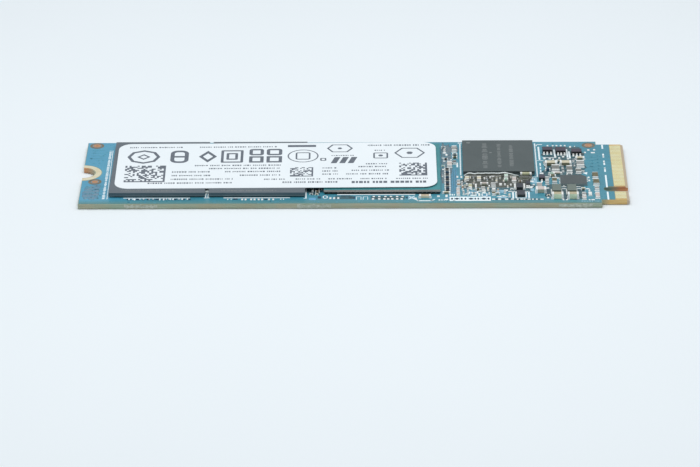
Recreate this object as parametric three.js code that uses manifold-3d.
// A bare M.2 2280 solid state drive: one circuit board, two flash packages, a controller,
// a memory package, a paper label bridging the packages, and the power parts by the connector.
// Units are millimetres. The origin is the centre of the board's underside, +X points along
// the board to the edge connector, +Y across it and +Z up through the component side.

import * as THREE from 'three';
import { mergeVertices } from 'three/addons/utils/BufferGeometryUtils.js';
import Module from 'manifold-3d';

const wasm = await Module();
wasm.setup();

// ---------- driving dimensions ----------

const board = { length: 80, width: 22, thickness: 0.8, mask: 0.03 };
const rightEnd = board.length / 2;
const leftEnd = -board.length / 2;
const sideEdge = board.width / 2;

const tongue = { length: 4, width: 19.85, chamferLength: 0.4, chamferDepth: 0.15 };
const maskEdge = rightEnd - 2.05;
const keySlot = { width: 1.2, depth: 3.5, y: -6.125 };

const notch = { radius: 1.75 };
const screwPad = { inner: 1.9, outer: 2.7, clearance: 0.1 };

const contact = { pitch: 0.5, width: 0.35, end: rightEnd - tongue.chamferLength, link: 0.1 };
const topContacts = { wideFirst: 9.25, wideCount: 29, narrowFirst: -7.25, narrowCount: 5 };
const bottomContacts = { wideFirst: 9.0, wideCount: 29, narrowFirst: -7.5, narrowCount: 4 };

const ballHeight = 0.2;
const packageTop = 1.55;

const flash = { x: 14, y: 18.3, substrate: 0.13, centreY: 0.35, ballInset: 1.2 };
const flashCentres = { flash_a: -28.65, flash_b: -14.1 };
const flashDies = { x: 11.4, y: 13.6, height: 0.26 };

const memory = { x: 10.5, y: 11.3, substrate: 0.13, centreX: 21.26, centreY: 4.2, ballInset: 0.9 };
const memoryDie = { x: 8.2, y: 8.6, height: 0.2 };
const underfill = { start: 16.4, length: 5.4, reach: 0.42, height: 0.5 };

const controller = { x: 17, y: 16.6, substrate: 0.4, centreX: 4.12, centreY: 0.7, ballInset: 0.5 };
const controllerDie = { x: 12.4, y: 11.6 };

const dieClearance = 0.05;

const label = {
  x: 47.15, y: 15.95, centreX: -11.47, centreY: 0.78, corner: 2, thickness: 0.1, turn: 0.0096,
};

const powerChip = { x: 3.85, y: 3.1, height: 0.35, centreX: 32.13, centreY: -3.5, cut: 0.55 };

const arcSteps = 24;
const overrun = 1;

// Ceramic chips on the board. Each is length by width by height about its centre x, y, and a
// turned one has its length across the board.
const capacitors = [
  { name: 'bulk_capacitor_1', x: 29.59, y: -9.25, length: 1.65, width: 0.9, height: 0.8 },
  { name: 'bulk_capacitor_2', x: 31.84, y: -9.25, length: 1.6, width: 0.9, height: 0.8 },
  { name: 'filter_capacitor_1', x: 27.24, y: -7.0, length: 1.5, width: 1.15, height: 0.6 },
  { name: 'filter_capacitor_2', x: 27.09, y: -5.4, length: 1.6, width: 0.75, height: 0.4, turned: true },
  { name: 'input_capacitor_1', x: 29.03, y: 2.6, length: 1.75, width: 0.95, height: 0.5 },
  { name: 'input_capacitor_2', x: 31.2, y: 2.6, length: 1.7, width: 0.95, height: 0.5 },
  { name: 'input_capacitor_3', x: 33.4, y: 4.55, length: 1.35, width: 0.6, height: 0.35 },
  { name: 'input_capacitor_4', x: 33.37, y: 2.5, length: 1.85, width: 1.15, height: 0.35, turned: true },
  { name: 'input_capacitor_5', x: 29.65, y: 0.93, length: 1.9, width: 1.15, height: 0.35, turned: true },
  { name: 'input_capacitor_6', x: 31.68, y: 0.45, length: 1.9, width: 0.85, height: 0.4, turned: true },
  { name: 'output_capacitor_1', x: 35.37, y: -1.7, length: 1.65, width: 0.85, height: 0.35, turned: true },
  { name: 'output_capacitor_2', x: 35.43, y: -4.1, length: 1.6, width: 0.9, height: 0.35, turned: true },
  { name: 'output_capacitor_3', x: 35.44, y: -6.3, length: 1.0, width: 0.65, height: 0.3, turned: true },
  { name: 'output_capacitor_4', x: 35.41, y: -8.65, length: 1.7, width: 0.65, height: 0.3, turned: true },
  { name: 'memory_capacitor_1', x: 25.2, y: -1.87, length: 1.65, width: 0.55, height: 0.7 },
  { name: 'memory_capacitor_2', x: 16.54, y: -2.7, length: 1.0, width: 0.6, height: 0.35, turned: true },
  { name: 'memory_capacitor_3', x: 18.3, y: -2.77, length: 1.15, width: 0.6, height: 0.35, turned: true },
  { name: 'memory_capacitor_4', x: 22.28, y: -2.62, length: 0.75, width: 0.58, height: 0.7, turned: true },
  { name: 'memory_capacitor_5', x: 23.46, y: -3.2, length: 1.5, width: 0.6, height: 0.35, turned: true },
  { name: 'memory_capacitor_6', x: 19.04, y: -4.5, length: 1.15, width: 0.45, height: 0.3 },
  { name: 'memory_capacitor_7', x: 20.38, y: -4.95, length: 1.0, width: 0.65, height: 0.3, turned: true },
  { name: 'memory_capacitor_8', x: 18.85, y: -6.3, length: 1.0, width: 0.55, height: 0.3, turned: true },
  { name: 'memory_capacitor_9', x: 16.97, y: -5.4, length: 1.2, width: 0.52, height: 0.3, turned: true },
  { name: 'controller_capacitor_1', x: 10.35, y: -8.9, length: 1.7, width: 0.65, height: 0.35 },
  { name: 'controller_capacitor_2', x: 14.05, y: 2.45, length: 1.6, width: 0.72, height: 0.35, turned: true },
  { name: 'controller_capacitor_3', x: 14.8, y: 8.0, length: 1.75, width: 0.72, height: 0.35, turned: true },
];

const plasticChips = [
  { name: 'load_switch_1', x: 28.66, y: 7.32, sizeX: 1.42, sizeY: 1.2, height: 0.55 },
  { name: 'load_switch_2', x: 30.64, y: 7.1, sizeX: 1.5, sizeY: 1.35, height: 0.55 },
  { name: 'load_switch_3', x: 32.96, y: 6.62, sizeX: 1.54, sizeY: 1.15, height: 0.55 },
  { name: 'clamp_diode', x: 27.5, y: -2.6, sizeX: 0.87, sizeY: 1.2, height: 0.5 },
  { name: 'level_shifter', x: 24.18, y: -5.85, sizeX: 0.92, sizeY: 1.5, height: 0.5 },
  { name: 'sensor_chip', x: 24.31, y: -8.2, sizeX: 1.15, sizeY: 1.6, height: 0.42 },
  { name: 'switching_transistor', x: 25.42, y: -4.7, sizeX: 0.65, sizeY: 1.05, height: 0.45 },
];

const inductors = [
  { name: 'power_inductor_1', x: 29.52, y: -7.27, sizeX: 1.32, sizeY: 2.25, height: 0.8 },
  { name: 'power_inductor_2', x: 31.72, y: -7.3, sizeX: 1.32, sizeY: 2.25, height: 0.8 },
];

// ---------- materials ----------

function material(color, roughness, metalness = 0) {
  return new THREE.MeshStandardMaterial({ color, roughness, metalness });
}

const solderMask = material(0x4b93aa, 0.35);
const gold = material(0xdcb768, 0.3, 1);
const mouldCompound = material(0x4c5359, 0.6);
const silicon = material(0x6b7076, 0.25, 0.4);
const substrateGreen = material(0x4f9a95, 0.4);
const solder = material(0xb9bdc0, 0.35, 1);
const paper = material(0xf1f4f5, 0.55);
const ferrite = material(0x70786f, 0.6);
const ceramic = material(0xb59a6d, 0.45);
const epoxy = material(0x4d4a40, 0.3);

// ---------- solids ----------

function toSolid(geometry) {
  const bare = geometry.clone();
  bare.deleteAttribute('normal');
  bare.deleteAttribute('uv');
  const merged = mergeVertices(bare);
  return new wasm.Manifold(new wasm.Mesh({
    numProp: 3,
    vertProperties: merged.attributes.position.array,
    triVerts: new Uint32Array(merged.index.array),
  }));
}

function toGeometry(solid) {
  const mesh = solid.getMesh();
  const geometry = new THREE.BufferGeometry();
  geometry.setAttribute('position', new THREE.BufferAttribute(mesh.vertProperties, 3));
  geometry.setIndex(new THREE.BufferAttribute(mesh.triVerts, 1));
  geometry.computeVertexNormals();
  return geometry;
}

function span(low, high) {
  const size = high.map((value, axis) => value - low[axis]);
  const geometry = new THREE.BoxGeometry(...size);
  return geometry.translate(...low.map((value, axis) => value + size[axis] / 2));
}

function block(centreX, centreY, sizeX, sizeY, bottom, top) {
  return span(
    [centreX - sizeX / 2, centreY - sizeY / 2, bottom],
    [centreX + sizeX / 2, centreY + sizeY / 2, top],
  );
}

function slab(shape, bottom, thickness) {
  const geometry = new THREE.ExtrudeGeometry(shape, {
    depth: thickness,
    bevelEnabled: false,
    curveSegments: arcSteps,
  });
  return geometry.translate(0, 0, bottom);
}

function part(name, geometry, look) {
  const mesh = new THREE.Mesh(geometry, look);
  mesh.name = name;
  return mesh;
}

// ---------- the circuit board ----------

function boardOutline() {
  const shoulder = rightEnd - tongue.length;
  const tongueSide = tongue.width / 2;
  const slotRadius = keySlot.width / 2;
  const slotCentre = rightEnd - keySlot.depth + slotRadius;
  const quarter = Math.PI / 2;
  const outline = new THREE.Shape();
  outline.moveTo(leftEnd, -notch.radius);
  outline.lineTo(leftEnd, -sideEdge);
  outline.lineTo(shoulder, -sideEdge);
  outline.lineTo(shoulder, -tongueSide);
  outline.lineTo(rightEnd, -tongueSide);
  outline.lineTo(rightEnd, keySlot.y - slotRadius);
  outline.lineTo(slotCentre, keySlot.y - slotRadius);
  outline.absarc(slotCentre, keySlot.y, slotRadius, -quarter, quarter, true);
  outline.lineTo(rightEnd, keySlot.y + slotRadius);
  outline.lineTo(rightEnd, tongueSide);
  outline.lineTo(shoulder, tongueSide);
  outline.lineTo(shoulder, sideEdge);
  outline.lineTo(leftEnd, sideEdge);
  outline.lineTo(leftEnd, notch.radius);
  outline.absarc(leftEnd, 0, notch.radius, quarter, -quarter, true);
  return outline;
}

// A wedge that planes one long edge of the tongue's end, as a triangle in X and Z run along Y.
function chamferCutter(faceZ, direction) {
  const slope = tongue.chamferDepth / tongue.chamferLength;
  const outerX = rightEnd + overrun;
  const innerX = rightEnd - tongue.chamferLength - overrun;
  const depthAtOuter = slope * (outerX - contact.end);
  const heightAtInner = slope * (contact.end - innerX);
  const wedge = new THREE.Shape();
  wedge.moveTo(innerX, faceZ + direction * heightAtInner);
  wedge.lineTo(outerX, faceZ - direction * depthAtOuter);
  wedge.lineTo(outerX, faceZ + direction * overrun);
  wedge.lineTo(innerX, faceZ + direction * overrun);
  wedge.closePath();
  const geometry = new THREE.ExtrudeGeometry(wedge, { depth: board.width, bevelEnabled: false });
  geometry.rotateX(Math.PI / 2);
  return geometry.translate(0, sideEdge, 0);
}

// Where the solder mask stops, the board is thinner by the mask on both faces.
function maskOpenings() {
  const topFace = board.thickness - board.mask;
  const tongueTop = span(
    [maskEdge, -sideEdge, topFace],
    [rightEnd + overrun, sideEdge, board.thickness + overrun],
  );
  const tongueBottom = span(
    [maskEdge, -sideEdge, -overrun],
    [rightEnd + overrun, sideEdge, board.mask],
  );
  const padRadius = screwPad.outer + screwPad.clearance;
  const padOpening = () => new THREE.CylinderGeometry(padRadius, padRadius, overrun, 4 * arcSteps)
    .rotateX(Math.PI / 2);
  const padTop = padOpening().translate(leftEnd, 0, topFace + overrun / 2);
  const padBottom = padOpening().translate(leftEnd, 0, board.mask - overrun / 2);
  return [tongueTop, tongueBottom, padTop, padBottom];
}

function circuitBoard() {
  let solid = toSolid(slab(boardOutline(), 0, board.thickness));
  const cutters = [
    ...maskOpenings(),
    chamferCutter(board.thickness - board.mask, 1),
    chamferCutter(board.mask, -1),
  ];
  for (const cutter of cutters) {
    solid = solid.subtract(toSolid(cutter));
  }
  return part('circuit_board', toGeometry(solid), solderMask);
}

// ---------- plated metal ----------

// The half ring of gold round the screw notch.
function screwPadRing(name, bottom) {
  const quarter = Math.PI / 2;
  const ring = new THREE.Shape();
  ring.moveTo(leftEnd, -screwPad.outer);
  ring.absarc(leftEnd, 0, screwPad.outer, -quarter, quarter, false);
  ring.lineTo(leftEnd, screwPad.inner);
  ring.absarc(leftEnd, 0, screwPad.inner, quarter, -quarter, true);
  ring.closePath();
  return part(name, slab(ring, bottom, board.mask), gold);
}

// A row of contact fingers joined at the mask's edge, with its first finger at the highest Y.
function contactRow(name, firstY, count, bottom) {
  const half = contact.width / 2;
  const linkEdge = maskEdge + contact.link;
  const lowestY = firstY - (count - 1) * contact.pitch;
  const comb = new THREE.Shape();
  comb.moveTo(maskEdge, lowestY - half);
  for (let index = 0; index < count; index += 1) {
    const y = lowestY + index * contact.pitch;
    if (index > 0) {
      comb.lineTo(linkEdge, y - half);
    }
    comb.lineTo(contact.end, y - half);
    comb.lineTo(contact.end, y + half);
    if (index < count - 1) {
      comb.lineTo(linkEdge, y + half);
    }
  }
  comb.lineTo(maskEdge, firstY + half);
  comb.closePath();
  return part(name, slab(comb, bottom, board.mask), gold);
}

function contactRows() {
  const topZ = board.thickness - board.mask;
  return [
    contactRow('top_contacts_wide', topContacts.wideFirst, topContacts.wideCount, topZ),
    contactRow('top_contacts_narrow', topContacts.narrowFirst, topContacts.narrowCount, topZ),
    contactRow('bottom_contacts_wide', bottomContacts.wideFirst, bottomContacts.wideCount, 0),
    contactRow('bottom_contacts_narrow', bottomContacts.narrowFirst, bottomContacts.narrowCount, 0),
  ];
}

// ---------- chip packages ----------

// The bed of solder balls under a package, as one slab inside the package's outline.
function ballBed(name, centreX, centreY, body) {
  const sizeX = body.x - 2 * body.ballInset;
  const sizeY = body.y - 2 * body.ballInset;
  const top = board.thickness + ballHeight;
  return part(name, block(centreX, centreY, sizeX, sizeY, board.thickness, top), solder);
}

// A moulded package: ball bed, laminate substrate, silicon, and the moulding that covers it.
function mouldedPackage(prefix, centreX, centreY, body, die, dieName) {
  const substrateBottom = board.thickness + ballHeight;
  const substrateTop = substrateBottom + body.substrate;
  const dieTop = substrateTop + die.height;
  const shell = toSolid(block(centreX, centreY, body.x, body.y, substrateTop, packageTop));
  const pocket = toSolid(block(
    centreX,
    centreY,
    die.x + 2 * dieClearance,
    die.y + 2 * dieClearance,
    substrateTop - overrun,
    dieTop + dieClearance,
  ));
  const substrate = block(centreX, centreY, body.x, body.y, substrateBottom, substrateTop);
  const silicone = block(centreX, centreY, die.x, die.y, substrateTop, dieTop);
  return [
    ballBed(`${prefix}_ball_grid`, centreX, centreY, body),
    part(`${prefix}_substrate`, substrate, substrateGreen),
    part(`${prefix}_${dieName}`, silicone, silicon),
    part(`${prefix}_moulding`, toGeometry(shell.subtract(pocket)), mouldCompound),
  ];
}

// The controller is a bare die on a green laminate, with no moulding round it.
function controllerPackage() {
  const substrateBottom = board.thickness + ballHeight;
  const substrateTop = substrateBottom + controller.substrate;
  const { centreX, centreY } = controller;
  const substrate = block(
    centreX,
    centreY,
    controller.x,
    controller.y,
    substrateBottom,
    substrateTop,
  );
  const die = block(centreX, centreY, controllerDie.x, controllerDie.y, substrateTop, packageTop);
  return [
    ballBed('controller_ball_grid', centreX, centreY, controller),
    part('controller_substrate', substrate, substrateGreen),
    part('controller_die', die, silicon),
  ];
}

// Cured resin drawn up against the front face of the memory package, hollow-curved in section.
function underfillBead() {
  const front = memory.centreY - memory.y / 2;
  const section = new THREE.Shape();
  section.moveTo(0, 0);
  section.lineTo(underfill.reach, 0);
  section.quadraticCurveTo(underfill.reach * 0.3, underfill.height * 0.35, 0, underfill.height);
  section.closePath();
  const geometry = new THREE.ExtrudeGeometry(section, {
    depth: underfill.length,
    bevelEnabled: false,
    curveSegments: 6,
  });
  geometry.rotateX(Math.PI / 2);
  geometry.rotateZ(-Math.PI / 2);
  geometry.translate(underfill.start + underfill.length, front, board.thickness);
  return part('memory_underfill_bead', geometry, epoxy);
}

// ---------- the label ----------

function paperLabel() {
  const halfX = label.x / 2;
  const halfY = label.y / 2;
  const inX = halfX - label.corner;
  const inY = halfY - label.corner;
  const quarter = Math.PI / 2;
  const outline = new THREE.Shape();
  outline.moveTo(-inX, -halfY);
  outline.lineTo(inX, -halfY);
  outline.absarc(inX, -inY, label.corner, -quarter, 0, false);
  outline.lineTo(halfX, inY);
  outline.absarc(inX, inY, label.corner, 0, quarter, false);
  outline.lineTo(-inX, halfY);
  outline.absarc(-inX, inY, label.corner, quarter, 2 * quarter, false);
  outline.lineTo(-halfX, -inY);
  outline.absarc(-inX, -inY, label.corner, 2 * quarter, 3 * quarter, false);
  const mesh = part('paper_label', slab(outline, 0, label.thickness), paper);
  mesh.position.set(label.centreX, label.centreY, packageTop);
  // The label was stuck on slightly askew.
  mesh.rotation.z = label.turn;
  return mesh;
}

// ---------- small parts on the board ----------

// A ceramic chip capacitor: its metal ends stand a little proud of its sides.
function capacitor({ name, x, y, length, width, height, turned }) {
  const halfLength = length / 2;
  const halfWidth = width / 2;
  const waist = halfWidth - 0.02;
  const bodyEnd = halfLength - 0.24 * length;
  const outline = new THREE.Shape();
  outline.moveTo(-halfLength, -halfWidth);
  outline.lineTo(-bodyEnd, -halfWidth);
  outline.lineTo(-bodyEnd, -waist);
  outline.lineTo(bodyEnd, -waist);
  outline.lineTo(bodyEnd, -halfWidth);
  outline.lineTo(halfLength, -halfWidth);
  outline.lineTo(halfLength, halfWidth);
  outline.lineTo(bodyEnd, halfWidth);
  outline.lineTo(bodyEnd, waist);
  outline.lineTo(-bodyEnd, waist);
  outline.lineTo(-bodyEnd, halfWidth);
  outline.lineTo(-halfLength, halfWidth);
  outline.closePath();
  const mesh = part(name, slab(outline, 0, height), ceramic);
  mesh.position.set(x, y, board.thickness);
  mesh.rotation.z = turned ? Math.PI / 2 : 0;
  return mesh;
}

function blockPart({ name, x, y, sizeX, sizeY, height }, look) {
  const mesh = part(name, block(0, 0, sizeX, sizeY, 0, height), look);
  mesh.position.set(x, y, board.thickness);
  return mesh;
}

// The power chip, with its marked corner cut off.
function powerManagementChip() {
  const halfX = powerChip.x / 2;
  const halfY = powerChip.y / 2;
  const outline = new THREE.Shape();
  outline.moveTo(-halfX, -halfY);
  outline.lineTo(halfX, -halfY);
  outline.lineTo(halfX, halfY - powerChip.cut);
  outline.lineTo(halfX - powerChip.cut, halfY);
  outline.lineTo(-halfX, halfY);
  outline.closePath();
  const mesh = part('power_chip', slab(outline, 0, powerChip.height), mouldCompound);
  mesh.position.set(powerChip.centreX, powerChip.centreY, board.thickness);
  return mesh;
}

// ---------- the whole drive ----------

const group = new THREE.Group();

group.add(circuitBoard());
group.add(screwPadRing('screw_pad_top', board.thickness - board.mask));
group.add(screwPadRing('screw_pad_bottom', 0));
group.add(...contactRows());

for (const [prefix, centreX] of Object.entries(flashCentres)) {
  group.add(...mouldedPackage(prefix, centreX, flash.centreY, flash, flashDies, 'die_stack'));
}
group.add(...mouldedPackage('memory', memory.centreX, memory.centreY, memory, memoryDie, 'die'));
group.add(...controllerPackage());
group.add(underfillBead());
group.add(paperLabel());

group.add(powerManagementChip());
for (const inductor of inductors) {
  group.add(blockPart(inductor, ferrite));
}
for (const chip of plasticChips) {
  group.add(blockPart(chip, mouldCompound));
}
for (const item of capacitors) {
  group.add(capacitor(item));
}

export default group;
